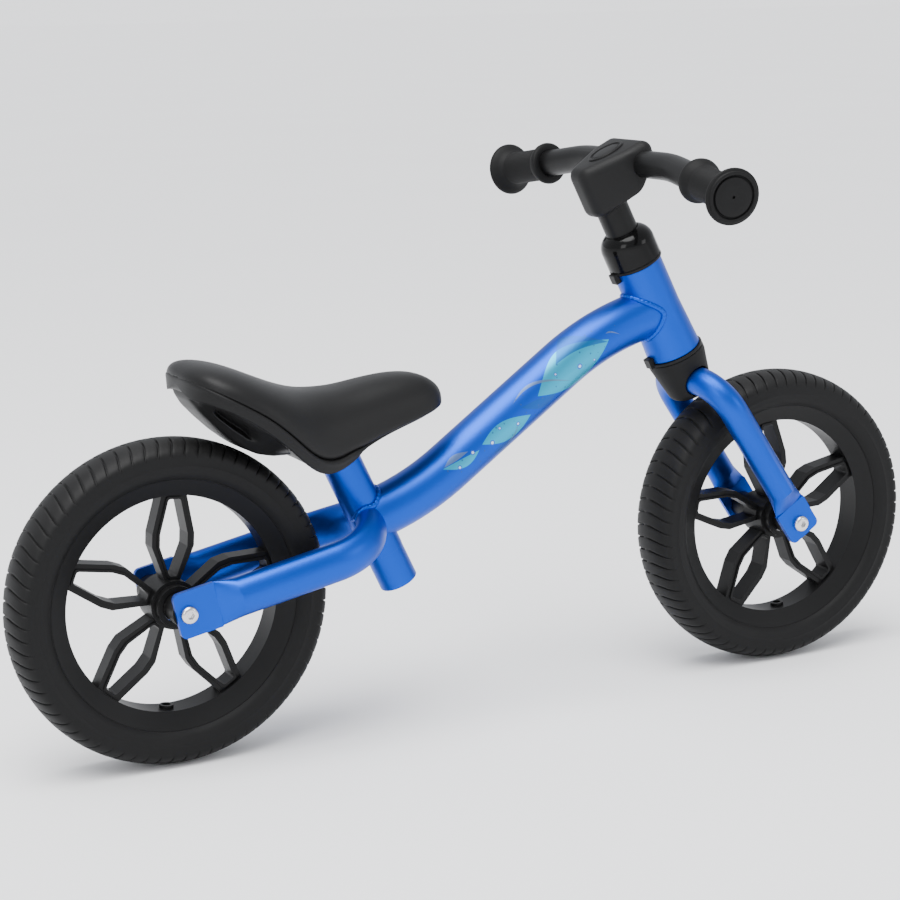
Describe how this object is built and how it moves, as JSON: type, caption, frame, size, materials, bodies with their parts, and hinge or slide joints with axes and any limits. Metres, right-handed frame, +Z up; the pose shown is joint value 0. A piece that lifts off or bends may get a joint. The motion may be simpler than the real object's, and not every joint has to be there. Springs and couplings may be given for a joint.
{
  "type": "balance bike",
  "caption": "Child's balance bike: curved steel frame and fork, spoked plastic wheels with foam tyres, padded saddle, swept handlebar with grips and a soft stem pad.",
  "frame": {"origin": "on the ground, midway between the two axles", "axes": "+X forward, +Y to the rider's left, +Z up"},
  "size_m": [0.808, 0.3642, 0.4591],
  "materials": {
    "frame_paint": "satin metallic",
    "black_paint": "satin",
    "steel": "bright",
    "black_plastic": "satin moulded",
    "gloss_plastic": "gloss",
    "tyre_foam": "matte moulded foam",
    "grip_rubber": "matte, fine ribs",
    "pad_foam": "satin",
    "saddle_skin": "satin, fine grain"
  },
  "bodies": {
    "frame": {"head_tube": "frame_paint", "seat_tube": "frame_paint", "main_tube": "frame_paint", "chain_stay_left": "frame_paint", "chain_stay_right": "frame_paint", "lower_cup": "black_plastic", "upper_cup": "black_plastic", "lower_bearing": "steel", "upper_bearing": "steel", "rear_axle": "steel", "rear_axle_spacers": "black_plastic", "rear_axle_sleeve": "steel", "rear_axle_bolts": "steel", "seat_clamp": "black_paint", "seat_clamp_bolt": "steel"},
    "fork": {"steerer_tube": "steel", "fork_leg_left": "frame_paint", "fork_leg_right": "frame_paint", "crown_race": "steel", "crown_boot": "black_plastic", "headset_nut": "steel", "headset_dome": "gloss_plastic", "front_axle": "steel", "front_axle_spacers": "black_plastic", "front_axle_sleeve": "steel", "front_axle_bolts": "steel"},
    "handlebar": {"stem_tube": "black_paint", "stem_wedge": "steel", "stem_head": "black_paint", "stem_bolt": "steel", "handlebar": "black_paint", "stem_pad": "pad_foam", "pad_badge": "gloss_plastic", "grip_left": "grip_rubber", "grip_right": "grip_rubber"},
    "front_wheel": {"front_rim": "black_plastic", "front_tyre": "tyre_foam", "front_wheel_bearings": "steel", "front_hub_caps": "black_plastic"},
    "rear_wheel": {"rear_rim": "black_plastic", "rear_tyre": "tyre_foam", "rear_wheel_bearings": "steel", "rear_hub_caps": "black_plastic"},
    "saddle": {"saddle_pad": "saddle_skin", "saddle_base": "black_plastic", "seat_post": "steel", "post_plate": "steel", "saddle_screws": "steel"}
  },
  "joints": [
    {"name": "steer", "type": "hinge", "parent": "frame", "child": "fork", "pos_m": [0.17837, 0, 0.28025], "axis": [-0.4352, 0, 0.9003], "range_deg": [-45, 45]},
    {"name": "bar_height", "type": "slide", "parent": "fork", "child": "handlebar", "axis": [-0.4352, 0, 0.9003], "range_m": [-0.012, 0.045]},
    {"name": "saddle_height", "type": "slide", "parent": "frame", "child": "saddle", "axis": [-0.4179, 0, 0.9085], "range_m": [0, 0.055]},
    {"name": "front_spin", "type": "hinge", "parent": "fork", "child": "front_wheel", "pos_m": [0.277, 0, 0.127], "axis": [0, 1, 0], "continuous": true},
    {"name": "rear_spin", "type": "hinge", "parent": "frame", "child": "rear_wheel", "pos_m": [-0.277, 0, 0.127], "axis": [0, 1, 0], "continuous": true}
  ]
}
